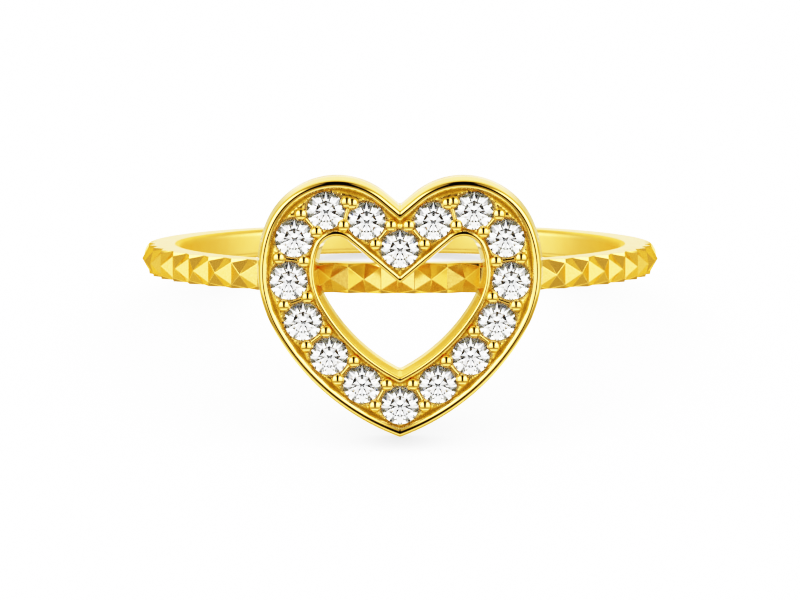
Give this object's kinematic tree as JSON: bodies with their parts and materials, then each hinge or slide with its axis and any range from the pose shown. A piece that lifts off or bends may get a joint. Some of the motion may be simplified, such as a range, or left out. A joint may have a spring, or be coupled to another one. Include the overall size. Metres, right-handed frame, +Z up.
{
  "type": "heart ring",
  "caption": "Finger ring with a pyramid-cut band and an open heart frame whose channel holds a row of small round clear stones.",
  "frame": {"origin": "on the surface that the ring lies on, under the middle of its box; the ring rests on the heart's tip and the back of its band", "axes": "+Z up, -Y towards the heart's front, +X to the right seen from the front; the bore's axis leans 15.6 degrees from +Z towards +Y"},
  "size_m": [0.0204, 0.0222, 0.0098],
  "materials": {
    "polished_gold": "mirror polish",
    "clear_stone": "polished facets"
  },
  "bodies": {
    "root": {"ring_body": "polished_gold", "stone_01": "clear_stone", "stone_02": "clear_stone", "stone_03": "clear_stone", "stone_04": "clear_stone", "stone_05": "clear_stone", "stone_06": "clear_stone", "stone_07": "clear_stone", "stone_08": "clear_stone", "stone_09": "clear_stone", "stone_10": "clear_stone", "stone_11": "clear_stone", "stone_12": "clear_stone", "stone_13": "clear_stone", "stone_14": "clear_stone", "stone_15": "clear_stone", "stone_16": "clear_stone"}
  },
  "joints": []
}
